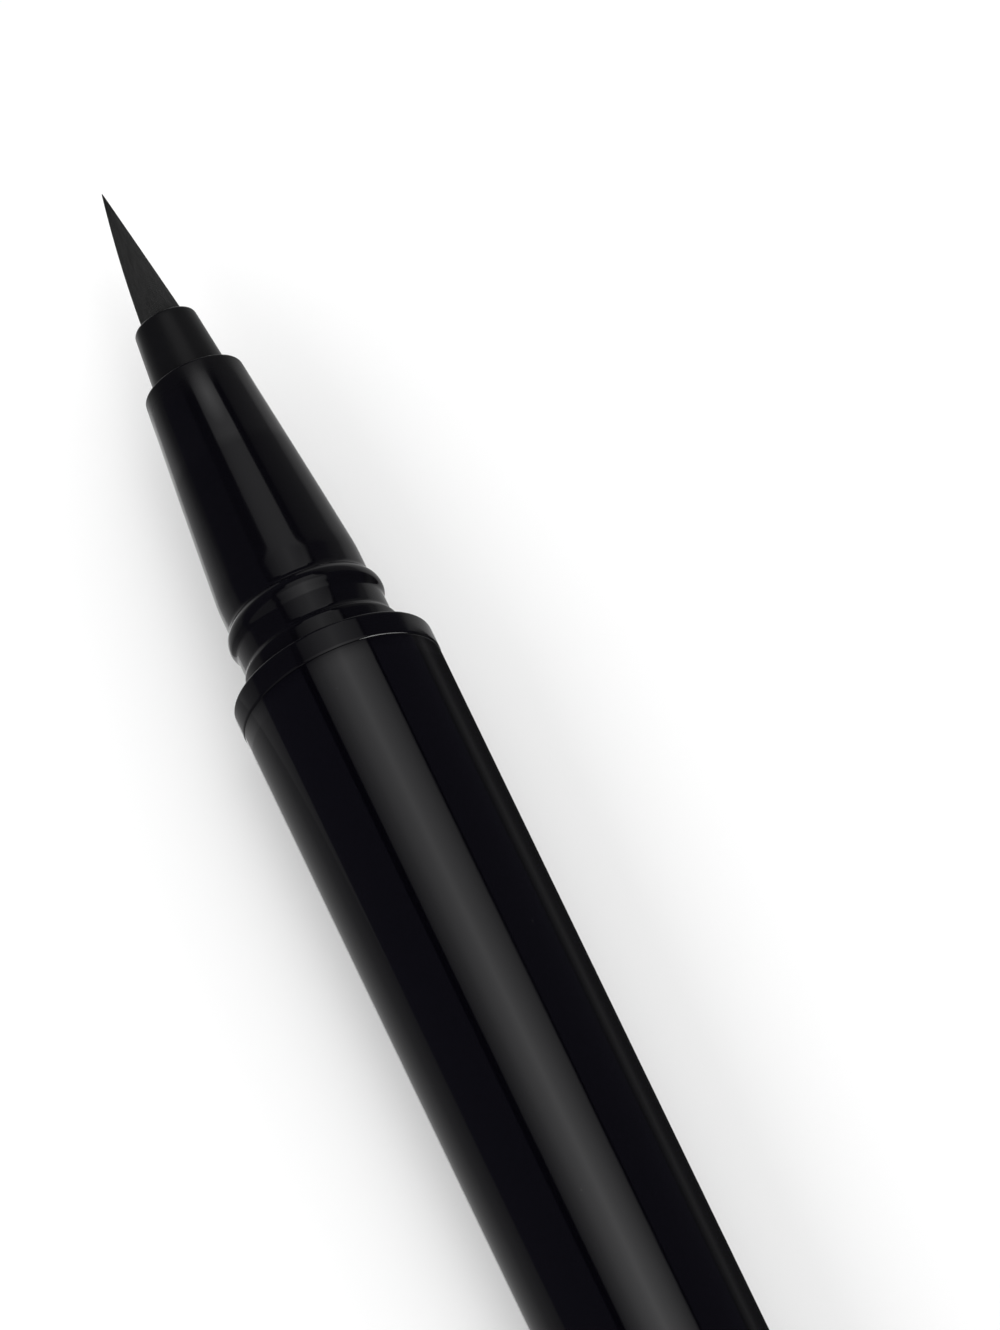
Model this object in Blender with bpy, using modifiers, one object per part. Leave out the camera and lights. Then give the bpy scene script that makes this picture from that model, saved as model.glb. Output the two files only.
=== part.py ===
"""Liquid eyeliner brush pen, lying on its side with its cap drawn off in line with the tip.

The pen's axis is the world X axis: its tail face stands at x = 0 and its brush points to +X.
The cap has its own places, counted from its rim. Everything is in metres.
"""

import math

import bmesh
import bpy
from mathutils import Matrix, Vector

MM = 0.001

# Places along the pen, from the tail face
TAIL_CAP_FRONT = 4.0 * MM
BARREL_FRONT = 92.0 * MM
SHOULDER_FRONT = 93.45 * MM
COLLAR_FRONT = 94.98 * MM
NECK_FRONT = 96.2 * MM
BEAD_PEAK = 97.05 * MM
BEAD_FRONT = 97.58 * MM
NOSE_TAPER_REAR = 99.4 * MM
NOSE_FRONT = 112.0 * MM
SLEEVE_FRONT = 115.95 * MM
BRUSH_TIP = 124.6 * MM

# Outer radii of the pen
TAIL_RADIUS = 5.30 * MM
BARREL_RADIUS = 5.52 * MM
SHOULDER_RADIUS = 5.55 * MM
COLLAR_RADIUS = 4.33 * MM
NECK_RADIUS = 4.13 * MM
BEAD_RADIUS = 4.33 * MM
NOSE_BASE_RADIUS = 3.96 * MM
NOSE_TIP_RADIUS = 2.75 * MM
NOSE_BULGE = 0.02 * MM
SLEEVE_BASE_RADIUS = 2.09 * MM
SLEEVE_TIP_RADIUS = 1.72 * MM
BRUSH_RADIUS = 1.16 * MM
BRUSH_END_RADIUS = 0.02 * MM
BRUSH_BULGE = 0.07 * MM

# Inside the barrel
BARREL_BORE = 4.60 * MM
SPIGOT_RADIUS = 4.50 * MM
TANK_REAR = 10.0 * MM
TANK_FRONT = 72.0 * MM
TANK_RADIUS = 4.35 * MM
TANK_BORE = 3.70 * MM
TANK_PLUG_FRONT = 14.0 * MM
FRONT_BORE = 3.50 * MM
COLLECTOR_FLANGE_REAR = 73.0 * MM
COLLECTOR_FLANGE_FRONT = 73.9 * MM
FIN_COUNT = 12
FIN_PITCH = 1.25 * MM
FIN_THICKNESS = 0.55 * MM
FIN_RADIUS = 3.38 * MM
CORE_RADIUS = 0.90 * MM
CORE_REAR = 64.0 * MM
BRUSH_ROOT_REAR = 107.2 * MM
BALL_RADIUS = 2.0 * MM

# The cap, with its places counted from its rim
CAP_LENGTH = 44.0 * MM
CAP_DRAWN_OFF = 55.0 * MM
CAP_RIM_RADIUS = 5.50 * MM
CAP_TOP_RADIUS = 5.275 * MM
CAP_TOP_WALL = 1.2 * MM
LINER_SEAT_BORE = 4.90 * MM
LINER_SEAT_DEPTH = 14.1 * MM
CUP_CHAMBER_BORE = 4.50 * MM
LINER_BORE = 4.55 * MM
SNAP_RIB_BORE = 4.40 * MM
SNAP_RIB_PLACE = 2.2 * MM
LEDGE_BORE = 3.80 * MM
CUP_RIM = 14.15 * MM
CUP_END = 33.4 * MM
CUP_RADIUS = 3.90 * MM
CUP_FLANGE_RADIUS = 4.35 * MM
CUP_BORE = 3.25 * MM
SPRING_BOSS_RADIUS = 2.0 * MM
SPRING_RADIUS = 2.75 * MM
SPRING_WIRE = 0.5 * MM
SPRING_TURNS = 6.5

PRESS_GAP = 0.05 * MM
EDGE = 0.12 * MM
FINE_STEPS = 32
INNER_STEPS = 24

CAP_RIM = SHOULDER_FRONT + PRESS_GAP + CAP_DRAWN_OFF

# Bristles
STRAND_COUNT = 320
STRAND_RADIUS = 0.045 * MM
STRAND_AIM = 127.0 * MM
STRAND_START = 115.45 * MM
ROOT_FRONT = 115.6 * MM
GOLDEN_ANGLE = math.pi * (3 - math.sqrt(5))


def clear_scene():
    for obj in list(bpy.data.objects):
        bpy.data.objects.remove(obj, do_unlink=True)


def new_collection(name):
    collection = bpy.data.collections.new(name)
    bpy.context.scene.collection.children.link(collection)
    return collection


def new_material(name, colour, roughness, metallic=0.0):
    material = bpy.data.materials.new(name)
    material.use_nodes = True
    shader = material.node_tree.nodes["Principled BSDF"]
    shader.inputs["Base Color"].default_value = (*colour, 1.0)
    shader.inputs["Roughness"].default_value = roughness
    shader.inputs["Metallic"].default_value = metallic
    return material


def mesh_object(name, mesh, collection, material, parent=None):
    obj = bpy.data.objects.new(name, mesh)
    collection.objects.link(obj)
    obj.parent = parent
    mesh.materials.append(material)
    return obj


def move_to(obj, collection):
    for current in list(obj.users_collection):
        current.objects.unlink(obj)
    collection.objects.link(obj)


def make_helper(obj):
    """Keeps a cutter or a joined shape out of the finished pen."""
    obj.hide_render = True
    obj.display_type = "WIRE"


def smooth(mesh, angle=35):
    mesh.shade_smooth()
    mesh.set_sharp_from_angle(angle=math.radians(angle))


def turned(name, profile, material, parent=None, steps=FINE_STEPS, ring=True):
    """A piece turned about the pen's axis from (place, radius) points.

    The points run along the outer side from the front to the rear, and back along the bore.
    A ring closes on itself, and a solid piece starts and ends on the axis instead. The first
    point stands half a step round, so that a flat and not an edge faces the floor.
    """
    start = math.pi / steps
    mesh = bpy.data.meshes.new(name)
    verts = [(r * math.cos(start), r * math.sin(start), x) for x, r in profile]
    edges = [(i, i + 1) for i in range(len(verts) - 1)]
    if ring:
        edges.append((len(verts) - 1, 0))
    mesh.from_pydata(verts, edges, [])
    obj = mesh_object(name, mesh, parts, material, parent)
    obj.rotation_euler = (0, math.pi / 2, 0)
    screw = obj.modifiers.new("Turn", "SCREW")
    screw.steps = screw.render_steps = steps
    screw.use_merge_vertices = True
    screw.merge_threshold = 0.001 * MM
    screw.use_smooth_shade = True
    return obj


def round_corner(start, corner, end, steps=3):
    """Points of a quarter of an ellipse that leaves start and reaches end along the corner's sides."""
    start, corner, end = Vector(start), Vector(corner), Vector(end)
    centre = start + end - corner
    points = []
    for i in range(steps + 1):
        turn = math.pi / 2 * i / steps
        points.append(tuple(centre + (start - centre) * math.cos(turn) + (end - centre) * math.sin(turn)))
    return points


def front_edge(x, r, size=EDGE):
    """The rounded outer edge of a front face, from the face to the side."""
    return round_corner((x, r - size), (x, r), (x - size, r))


def rear_edge(x, r, size=EDGE):
    """The rounded outer edge of a rear face, from the side to the face."""
    return round_corner((x + size, r), (x, r), (x, r - size))


def bowed(x0, r0, x1, r1, bulge, steps):
    """Points along a line that swells outwards by the bulge at its middle."""
    points = []
    for i in range(steps + 1):
        f = i / steps
        points.append((x0 + (x1 - x0) * f, r0 + (r1 - r0) * f + bulge * 4 * f * (1 - f)))
    return points


def brush_radius(x):
    """Outer radius of the bundle of bristles at a place along the pen."""
    f = (x - SLEEVE_FRONT) / (BRUSH_TIP - SLEEVE_FRONT)
    straight = BRUSH_RADIUS + (BRUSH_END_RADIUS - BRUSH_RADIUS) * f
    return straight + BRUSH_BULGE * 4 * f * (1 - f)


def combine(obj, helper, operation):
    modifier = obj.modifiers.new(helper.name, "BOOLEAN")
    modifier.object = helper
    modifier.operation = operation


def make_barrel():
    turned("barrel", [
        *front_edge(BARREL_FRONT, BARREL_RADIUS, 0.06 * MM),
        *rear_edge(TAIL_CAP_FRONT, TAIL_RADIUS, 0.06 * MM),
        (TAIL_CAP_FRONT, BARREL_BORE),
        (BARREL_FRONT, BARREL_BORE),
    ], gloss_black)


def make_tail_cap():
    spigot_front, recess_floor, recess_radius = 7.8 * MM, 1.4 * MM, 3.6 * MM
    seat = TAIL_CAP_FRONT - PRESS_GAP
    turned("tail_cap", [
        (recess_floor, 0),
        (recess_floor, recess_radius),
        (spigot_front, recess_radius),
        (spigot_front, SPIGOT_RADIUS),
        (seat, SPIGOT_RADIUS),
        *front_edge(seat, TAIL_RADIUS, 0.06 * MM),
        *rear_edge(0, TAIL_RADIUS - 0.02 * MM, 0.35 * MM),
        (0, 0),
    ], gloss_black, ring=False)


def make_shoulder_ring():
    bore = COLLAR_RADIUS + PRESS_GAP
    rear = BARREL_FRONT + PRESS_GAP
    turned("shoulder_ring", [
        *front_edge(SHOULDER_FRONT, SHOULDER_RADIUS),
        *rear_edge(rear, SHOULDER_RADIUS, 0.06 * MM),
        (rear, bore),
        (SHOULDER_FRONT, bore),
    ], gloss_black)


def make_neck_section():
    """A collar, a neck and a bead whose front falls steeply and whose back sinks gently to the neck."""
    corner = (BEAD_FRONT, BEAD_RADIUS)
    bead_front = round_corner((BEAD_FRONT, NOSE_BASE_RADIUS), corner, (BEAD_PEAK, BEAD_RADIUS), 4)
    bead_back, back_steps = [], 4
    for i in range(1, back_steps + 1):
        f = i / back_steps
        place = BEAD_PEAK + (NECK_FRONT - BEAD_PEAK) * f
        sink = (BEAD_RADIUS - NECK_RADIUS) * (1 - math.cos(math.pi * f)) / 2
        bead_back.append((place, BEAD_RADIUS - sink))
    rear = COLLECTOR_FLANGE_FRONT + 2 * PRESS_GAP
    turned("neck_section", [
        *bead_front,
        *bead_back,
        (COLLAR_FRONT, NECK_RADIUS),
        (COLLAR_FRONT, COLLAR_RADIUS),
        (BARREL_FRONT, COLLAR_RADIUS),
        (BARREL_FRONT, SPIGOT_RADIUS),
        (rear, SPIGOT_RADIUS),
        (rear, FRONT_BORE),
        (BEAD_FRONT, FRONT_BORE),
    ], gloss_black)


def make_nose_cone():
    seat = BEAD_FRONT + PRESS_GAP
    spigot_rear, spigot_radius, rear_bore = 92.5 * MM, 3.42 * MM, 2.2 * MM
    sleeve_bore, sleeve_bore_rear = 1.85 * MM, 104.5 * MM
    turned("nose_cone", [
        *front_edge(NOSE_FRONT, NOSE_TIP_RADIUS)[:-1],
        *bowed(NOSE_FRONT - EDGE, NOSE_TIP_RADIUS, NOSE_TAPER_REAR, NOSE_BASE_RADIUS, NOSE_BULGE, 8),
        (seat, NOSE_BASE_RADIUS),
        (seat, spigot_radius),
        (spigot_rear, spigot_radius),
        (spigot_rear, rear_bore),
        (sleeve_bore_rear, rear_bore),
        (sleeve_bore_rear, sleeve_bore),
        (NOSE_FRONT, sleeve_bore),
    ], gloss_black)


def make_tip_sleeve():
    seat = NOSE_FRONT + PRESS_GAP
    tail_rear, tail_radius = 105.0 * MM, 1.78 * MM
    brush_bore, flange_bore, flange_bore_front = 1.22 * MM, 1.58 * MM, 108.9 * MM
    turned("tip_sleeve", [
        *front_edge(SLEEVE_FRONT, SLEEVE_TIP_RADIUS, 0.2 * MM),
        (seat, SLEEVE_BASE_RADIUS),
        (seat, tail_radius),
        (tail_rear, tail_radius),
        (tail_rear, flange_bore),
        (flange_bore_front, flange_bore),
        (flange_bore_front, brush_bore),
        (SLEEVE_FRONT, brush_bore),
    ], satin_black, steps=INNER_STEPS)


def strand_end(spread):
    """Where a bristle that starts this far from the axis meets the outer shape of the bundle."""
    near, far = STRAND_START, BRUSH_TIP
    for _ in range(40):
        middle = (near + far) / 2
        inside = spread * (STRAND_AIM - middle) / (STRAND_AIM - STRAND_START) < brush_radius(middle)
        near, far = (middle, far) if inside else (near, middle)
    return near


def make_brush_tip():
    """A melted root with a flange, and bristles that all lean to one point and stop short of it.

    Every bristle narrows towards that point with the bundle, so that none crosses another.
    """
    flange_front, flange_radius, root_radius = 108.8 * MM, 1.5 * MM, 1.15 * MM
    brush = turned("brush_tip", [
        (ROOT_FRONT, 0),
        (ROOT_FRONT, root_radius),
        (flange_front, root_radius),
        (flange_front, flange_radius),
        (BRUSH_ROOT_REAR, flange_radius),
        (BRUSH_ROOT_REAR, 0),
    ], bristle_black, steps=INNER_STEPS, ring=False)

    strands = bmesh.new()
    outermost = root_radius - STRAND_RADIUS
    for i in range(STRAND_COUNT):
        spread = outermost * math.sqrt((i + 0.5) / STRAND_COUNT)
        y, z = spread * math.cos(i * GOLDEN_ANGLE), spread * math.sin(i * GOLDEN_ANGLE)
        end = strand_end(spread)
        length = end - STRAND_START
        to_aim = STRAND_AIM - STRAND_START
        lean = Vector((1, -y / to_aim, -z / to_aim))
        placed = Matrix.Translation(Vector((STRAND_START, y, z)) + lean * length / 2)
        turned_to_lean = Matrix(((0, 0, lean.x), (1, 0, lean.y), (0, 1, lean.z))).to_4x4()
        bmesh.ops.create_cone(
            strands, cap_ends=True, segments=3, depth=length,
            radius1=STRAND_RADIUS, radius2=STRAND_RADIUS * (STRAND_AIM - end) / to_aim,
            matrix=placed @ turned_to_lean,
        )
    mesh = bpy.data.meshes.new("bristles")
    strands.to_mesh(mesh)
    strands.free()
    bristles = mesh_object("bristles", mesh, helpers, bristle_black)
    make_helper(bristles)
    combine(brush, bristles, "UNION")


def make_ink_tank():
    turned("ink_tank", [
        (TANK_FRONT, TANK_RADIUS),
        (TANK_REAR, TANK_RADIUS),
        (TANK_REAR, TANK_BORE),
        (TANK_FRONT, TANK_BORE),
    ], clear_plastic, steps=INNER_STEPS)


def make_tank_plug():
    seat, rear = TANK_REAR - PRESS_GAP, 8.6 * MM
    recess_front, recess_radius = 12.5 * MM, 2.2 * MM
    turned("tank_plug", [
        (TANK_PLUG_FRONT, 0),
        (TANK_PLUG_FRONT, TANK_BORE - 2 * PRESS_GAP),
        (seat, TANK_BORE - 2 * PRESS_GAP),
        (seat, TANK_RADIUS),
        (rear, TANK_RADIUS),
        (rear, recess_radius),
        (recess_front, recess_radius),
        (recess_front, 0),
    ], white_plastic, steps=INNER_STEPS, ring=False)


def make_tank_gasket():
    section, middle_radius, sides = 0.27 * MM, 4.02 * MM, 8
    middle = (TANK_FRONT + COLLECTOR_FLANGE_REAR) / 2
    ring = []
    for i in range(sides):
        turn = 2 * math.pi * (i + 0.5) / sides
        ring.append((middle - section * math.sin(turn), middle_radius + section * math.cos(turn)))
    turned("tank_gasket", ring, rubber, steps=INNER_STEPS)


def make_collector():
    """The comb that holds ink back between its fins, with a slot along its lower side."""
    tube_front, tube_radius, bore = 91.0 * MM, 1.7 * MM, CORE_RADIUS + 2 * PRESS_GAP
    first_fin = 75.2 * MM
    spigot_rear, spigot_radius = 69.5 * MM, TANK_BORE - 2 * PRESS_GAP
    profile = [(tube_front, tube_radius)]
    for i in reversed(range(FIN_COUNT)):
        rear = first_fin + i * FIN_PITCH
        front = rear + FIN_THICKNESS
        profile += [(front, tube_radius), (front, FIN_RADIUS), (rear, FIN_RADIUS), (rear, tube_radius)]
    profile += [
        (COLLECTOR_FLANGE_FRONT, tube_radius),
        (COLLECTOR_FLANGE_FRONT, TANK_RADIUS),
        (COLLECTOR_FLANGE_REAR, TANK_RADIUS),
        (COLLECTOR_FLANGE_REAR, spigot_radius),
        (spigot_rear, spigot_radius),
        (spigot_rear, bore),
        (tube_front, bore),
    ]
    collector = turned("collector", profile, white_plastic, steps=16)

    slot_width, slot_floor, slot_depth = 0.6 * MM, 1.35 * MM, 3.0 * MM
    slot_rear, slot_front = first_fin - 0.4 * MM, first_fin + FIN_COUNT * FIN_PITCH + 0.4 * MM
    bpy.ops.mesh.primitive_cube_add(size=1)
    slot = bpy.context.active_object
    slot.name = "collector_slot"
    slot.scale = (slot_front - slot_rear, slot_width, slot_depth)
    slot.location = ((slot_front + slot_rear) / 2, 0, -(slot_floor + slot_depth / 2))
    move_to(slot, helpers)
    make_helper(slot)
    combine(collector, slot, "DIFFERENCE")


def make_relay_core():
    front = BRUSH_ROOT_REAR - 2 * PRESS_GAP
    turned("relay_core", [
        (front, 0), (front, CORE_RADIUS), (CORE_REAR, CORE_RADIUS), (CORE_REAR, 0),
    ], fibre_white, steps=12, ring=False)


def make_mixing_ball():
    clearance = 2 * PRESS_GAP
    bpy.ops.mesh.primitive_uv_sphere_add(segments=16, ring_count=10, radius=BALL_RADIUS)
    ball = bpy.context.active_object
    ball.name = ball.data.name = "mixing_ball"
    ball.location = (TANK_PLUG_FRONT + BALL_RADIUS + clearance, 0, -(TANK_BORE - BALL_RADIUS - clearance))
    move_to(ball, parts)
    ball.data.materials.append(steel)
    smooth(ball.data)


def make_cap_shell(cap):
    inner_end = CAP_LENGTH - CAP_TOP_WALL
    boss_end = inner_end - 1.2 * MM
    turned("cap_shell", [
        (CAP_LENGTH, 0),
        *front_edge(CAP_LENGTH, CAP_TOP_RADIUS, 0.25 * MM),
        *rear_edge(0, CAP_RIM_RADIUS),
        (0, LINER_SEAT_BORE),
        (LINER_SEAT_DEPTH, LINER_SEAT_BORE),
        (LINER_SEAT_DEPTH, CUP_CHAMBER_BORE),
        (inner_end, CUP_CHAMBER_BORE),
        (inner_end, SPRING_BOSS_RADIUS),
        (boss_end, SPRING_BOSS_RADIUS),
        (boss_end, 0),
    ], gloss_black, cap, ring=False)


def make_cap_liner(cap):
    rim, inner_end, outer = 0.25 * MM, LINER_SEAT_DEPTH - PRESS_GAP, LINER_SEAT_BORE - PRESS_GAP
    lead_in, rib_half, ledge_depth = 0.25 * MM, 0.45 * MM, 0.8 * MM
    turned("cap_liner", [
        (inner_end, outer),
        (rim, outer),
        (rim, LINER_BORE + lead_in),
        (rim + lead_in, LINER_BORE),
        (SNAP_RIB_PLACE - rib_half, LINER_BORE),
        (SNAP_RIB_PLACE, SNAP_RIB_BORE),
        (SNAP_RIB_PLACE + rib_half, LINER_BORE),
        (inner_end - ledge_depth, LINER_BORE),
        (inner_end - ledge_depth, LEDGE_BORE),
        (inner_end, LEDGE_BORE),
    ], satin_black, cap)


def make_seal_cup(cap):
    flange_end, bore_end, boss_end = CUP_RIM + 0.95 * MM, CUP_END - 0.8 * MM, CUP_END + 1.2 * MM
    turned("seal_cup", [
        (boss_end, 0),
        (boss_end, SPRING_BOSS_RADIUS),
        (CUP_END, SPRING_BOSS_RADIUS),
        *front_edge(CUP_END, CUP_RADIUS, 0.4 * MM),
        (flange_end, CUP_RADIUS),
        (flange_end, CUP_FLANGE_RADIUS),
        (CUP_RIM, CUP_FLANGE_RADIUS),
        (CUP_RIM, CUP_BORE),
        (bore_end, CUP_BORE),
        (bore_end, 0),
    ], white_plastic, cap, ring=False)


def make_seal_spring(cap):
    """The spring that presses the seal cup on the nose, as one open coil of wire."""
    points_per_turn = 12
    first = CUP_END + SPRING_WIRE / 2 + 2 * PRESS_GAP
    last = CAP_LENGTH - CAP_TOP_WALL - SPRING_WIRE / 2 - 2 * PRESS_GAP
    count = round(SPRING_TURNS * points_per_turn) + 1
    points = []
    for i in range(count):
        turn = 2 * math.pi * i / points_per_turn
        place = first + (last - first) * i / (count - 1)
        points.append((place, SPRING_RADIUS * math.cos(turn), SPRING_RADIUS * math.sin(turn)))
    curve = bpy.data.curves.new("seal_spring", "CURVE")
    curve.dimensions = "3D"
    curve.bevel_depth = SPRING_WIRE / 2
    curve.bevel_resolution = 1
    curve.use_fill_caps = True
    spline = curve.splines.new("POLY")
    spline.points.add(count - 1)
    for point, place in zip(spline.points, points):
        point.co = (*place, 1)
    mesh_object("seal_spring", curve, parts, steel, cap)

    least = min(
        math.dist(points[i], points[j])
        for i in range(count)
        for j in range(i + points_per_turn // 2, count)
    )
    print(f"seal_spring: least gap to itself {(least - SPRING_WIRE) / MM:.2f} mm")


clear_scene()
parts = new_collection("liquid_eyeliner_pen")
helpers = new_collection("helpers")
helpers.hide_render = True

gloss_black = new_material("gloss_black", (0.003, 0.003, 0.0045), 0.12)
satin_black = new_material("satin_black", (0.006, 0.006, 0.008), 0.3)
bristle_black = new_material("bristle_black", (0.02, 0.02, 0.02), 0.7)
clear_plastic = new_material("clear_plastic", (0.75, 0.78, 0.8), 0.25)
white_plastic = new_material("white_plastic", (0.75, 0.75, 0.72), 0.4)
fibre_white = new_material("fibre_white", (0.6, 0.6, 0.56), 0.9)
rubber = new_material("rubber", (0.02, 0.02, 0.02), 0.6)
steel = new_material("steel", (0.6, 0.6, 0.6), 0.25, 1.0)

make_barrel()
make_tail_cap()
make_shoulder_ring()
make_neck_section()
make_nose_cone()
make_tip_sleeve()
make_brush_tip()
make_ink_tank()
make_tank_plug()
make_tank_gasket()
make_collector()
make_relay_core()
make_mixing_ball()

cap_frame = bpy.data.objects.new("cap", None)
parts.objects.link(cap_frame)
cap_frame.location = (CAP_RIM, 0, 0)
make_cap_shell(cap_frame)
make_cap_liner(cap_frame)
make_seal_cup(cap_frame)
make_seal_spring(cap_frame)
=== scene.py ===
# %% [markdown]
# # A liquid eyeliner pen, uncapped
# This lesson dresses a slim black eyeliner pen that lies on a pale table. The pen is already built
# to its real size as plain solids, so nothing here is moved or resized. We load those solids,
# measure them, and give each one a finer mesh and a finish that behaves like the real one.

# %% Load the plain solids
import math
import random

import bmesh
import bpy
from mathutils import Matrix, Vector


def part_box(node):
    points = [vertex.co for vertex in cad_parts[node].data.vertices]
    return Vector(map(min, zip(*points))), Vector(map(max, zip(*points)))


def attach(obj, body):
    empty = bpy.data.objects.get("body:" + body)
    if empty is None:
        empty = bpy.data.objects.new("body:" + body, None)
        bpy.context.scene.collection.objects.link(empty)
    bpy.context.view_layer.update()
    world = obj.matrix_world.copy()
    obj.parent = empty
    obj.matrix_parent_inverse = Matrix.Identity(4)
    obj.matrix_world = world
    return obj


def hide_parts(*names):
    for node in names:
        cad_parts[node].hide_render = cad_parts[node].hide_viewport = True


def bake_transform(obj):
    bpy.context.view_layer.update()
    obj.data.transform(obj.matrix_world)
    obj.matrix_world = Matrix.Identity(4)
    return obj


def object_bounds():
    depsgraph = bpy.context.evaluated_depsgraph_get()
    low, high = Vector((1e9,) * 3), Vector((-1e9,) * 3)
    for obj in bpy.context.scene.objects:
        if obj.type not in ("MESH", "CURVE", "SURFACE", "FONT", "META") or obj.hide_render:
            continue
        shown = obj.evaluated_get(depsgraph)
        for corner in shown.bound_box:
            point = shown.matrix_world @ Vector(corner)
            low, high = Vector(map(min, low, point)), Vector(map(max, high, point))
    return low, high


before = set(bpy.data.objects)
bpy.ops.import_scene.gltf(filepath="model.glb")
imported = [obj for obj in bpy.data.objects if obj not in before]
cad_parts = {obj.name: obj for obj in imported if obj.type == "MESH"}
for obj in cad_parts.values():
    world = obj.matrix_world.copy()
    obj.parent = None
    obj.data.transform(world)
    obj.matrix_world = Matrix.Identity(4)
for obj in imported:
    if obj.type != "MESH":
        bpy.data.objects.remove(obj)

MM = 0.001
plain_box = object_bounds()
print("plain solids reach from", [round(v / MM, 2) for v in plain_box[0]],
      "to", [round(v / MM, 2) for v in plain_box[1]], "mm")

# %% [markdown]
# ## Reading sizes from the solids
# A finer mesh has to sit exactly where its plain solid is. Its sizes could be typed in again, but
# then the two could drift apart. It is safer to ask the solid: where does it start and end along
# the pen, and how far from the axis is its skin at some place? The pen's axis is the X axis.

# %% Measuring helpers
def ends(node):
    """The rear and front places of a solid along the pen."""
    low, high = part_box(node)
    return low.x, high.x


def radii(node, place, reach=0.02 * MM):
    """The distances from the axis of the solid's corners near one place."""
    corners = [v.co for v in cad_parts[node].data.vertices]
    return sorted(math.hypot(c.y, c.z) for c in corners if abs(c.x - place) < reach)


def places(node):
    """Every place along the pen where the solid has corners, from the rear to the front."""
    return sorted({round(v.co.x, 6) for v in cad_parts[node].data.vertices})


def outer_radius(node):
    return max(math.hypot(v.co.y, v.co.z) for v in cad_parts[node].data.vertices)


def bore_radius(node, place):
    return radii(node, place)[0]


for node in ("barrel", "shoulder_ring", "nose_cone", "cap_shell"):
    rear, front = ends(node)
    across = 2 * outer_radius(node)
    print(f"{node}: {rear / MM:.2f} to {front / MM:.2f} mm, {across / MM:.2f} mm across")

# %% [markdown]
# ## The camera
# A close product picture is taken with a long lens, so that a round pen doesn't swell towards the
# camera. The camera looks down steeply, and the pen runs up and to the left across the frame. We
# place it by the point it looks at, its heading against the pen, its height and its distance.

# %% Camera
LOOK_DISTANCE = 0.600
FRAME_HEIGHT_AT_PEN = 68.38 * MM
HEADING = math.radians(-23.37)
HEIGHT_ANGLE = math.radians(62.0)
SIDE_SHIFT, UP_SHIFT = 8.03 * MM, 1.61 * MM

level = Vector((math.cos(HEADING), math.sin(HEADING), 0))
look = level * math.cos(HEIGHT_ANGLE) - Vector((0, 0, math.sin(HEIGHT_ANGLE)))
picture_right = Vector((math.sin(HEADING), -math.cos(HEADING), 0))
picture_up = level * math.sin(HEIGHT_ANGLE) + Vector((0, 0, math.cos(HEIGHT_ANGLE)))
seam = ends("barrel")[1]
target = Vector((seam, 0, 0)) + picture_right * SIDE_SHIFT + picture_up * UP_SHIFT

camera_data = bpy.data.cameras.new("camera")
camera_data.sensor_width = 36.0
camera_data.lens = camera_data.sensor_width * LOOK_DISTANCE / FRAME_HEIGHT_AT_PEN
camera = bpy.data.objects.new("camera", camera_data)
bpy.context.scene.collection.objects.link(camera)
camera.location = target - look * LOOK_DISTANCE
camera.rotation_mode = "QUATERNION"
camera.rotation_quaternion = look.to_track_quat("-Z", "Y")
bpy.context.scene.camera = camera
bpy.context.scene.view_settings.view_transform = "Standard"
print(f"camera: {camera_data.lens:.0f} mm lens, {LOOK_DISTANCE:.2f} m from the pen")

# %% [markdown]
# ## Building shader trees with few words
# A material is a small network of nodes. Written out in full, each node takes several lines, so
# one helper makes a node, sets its choices and fills its sockets. A socket takes a plain value or
# the output of another node. Constants stay on the shader's own sockets.

# %% Node helpers
def add(tree, kind, sockets=None, **choices):
    """Adds a node. Sockets are named or numbered, and hold a value or another node's output."""
    node = tree.nodes.new(kind)
    for name, value in choices.items():
        setattr(node, name, value)
    for socket, value in (sockets or {}).items():
        if isinstance(value, bpy.types.NodeSocket):
            tree.links.new(value, node.inputs[socket])
        else:
            node.inputs[socket].default_value = value
    return node


def new_group(name, inputs, outputs):
    """A node group with number inputs, each with its usual value, and number outputs."""
    tree = bpy.data.node_groups.new(name, "ShaderNodeTree")
    for label, usual in inputs.items():
        socket = tree.interface.new_socket(label, in_out="INPUT", socket_type="NodeSocketFloat")
        socket.default_value = usual
    for label in outputs:
        tree.interface.new_socket(label, in_out="OUTPUT", socket_type="NodeSocketFloat")
    return tree, tree.nodes.new("NodeGroupInput"), tree.nodes.new("NodeGroupOutput")


def use_group(tree, group, **values):
    """Places a group. A word like wave_size fills the input called Wave size."""
    node = add(tree, "ShaderNodeGroup", node_tree=group)
    for word, value in values.items():
        node.inputs[word.replace("_", " ").capitalize()].default_value = value
    return node


def new_material(name):
    material = bpy.data.materials.new(name)
    material.use_nodes = True
    tree = material.node_tree
    return material, tree, tree.nodes["Principled BSDF"]


def object_place(tree, scale):
    """Places on the object in metres, scaled along each axis.

    A scale below one draws a pattern out along that axis.
    """
    where = add(tree, "ShaderNodeTexCoord").outputs["Object"]
    return add(tree, "ShaderNodeMapping", {"Vector": where, "Scale": scale}).outputs["Vector"]

# %% [markdown]
# ## The table
# The table is plain and pale, and keeps the pen's soft shadow. In the picture it should read as
# white. More light would do that, but it would also wash out the pen. So the table shines a little,
# and only for rays that come from the camera, or from a mirror or glass in front of it.

# %% Table
TABLE_SIZE = 12.0
TABLE_PALE = (0.88, 0.88, 0.88, 1)
TABLE_GRAIN = (0.86, 0.86, 0.86, 1)
TABLE_GRAIN_SCALE = 900
TABLE_LIFT = 0.13
table_height = -outer_radius("shoulder_ring")

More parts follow.
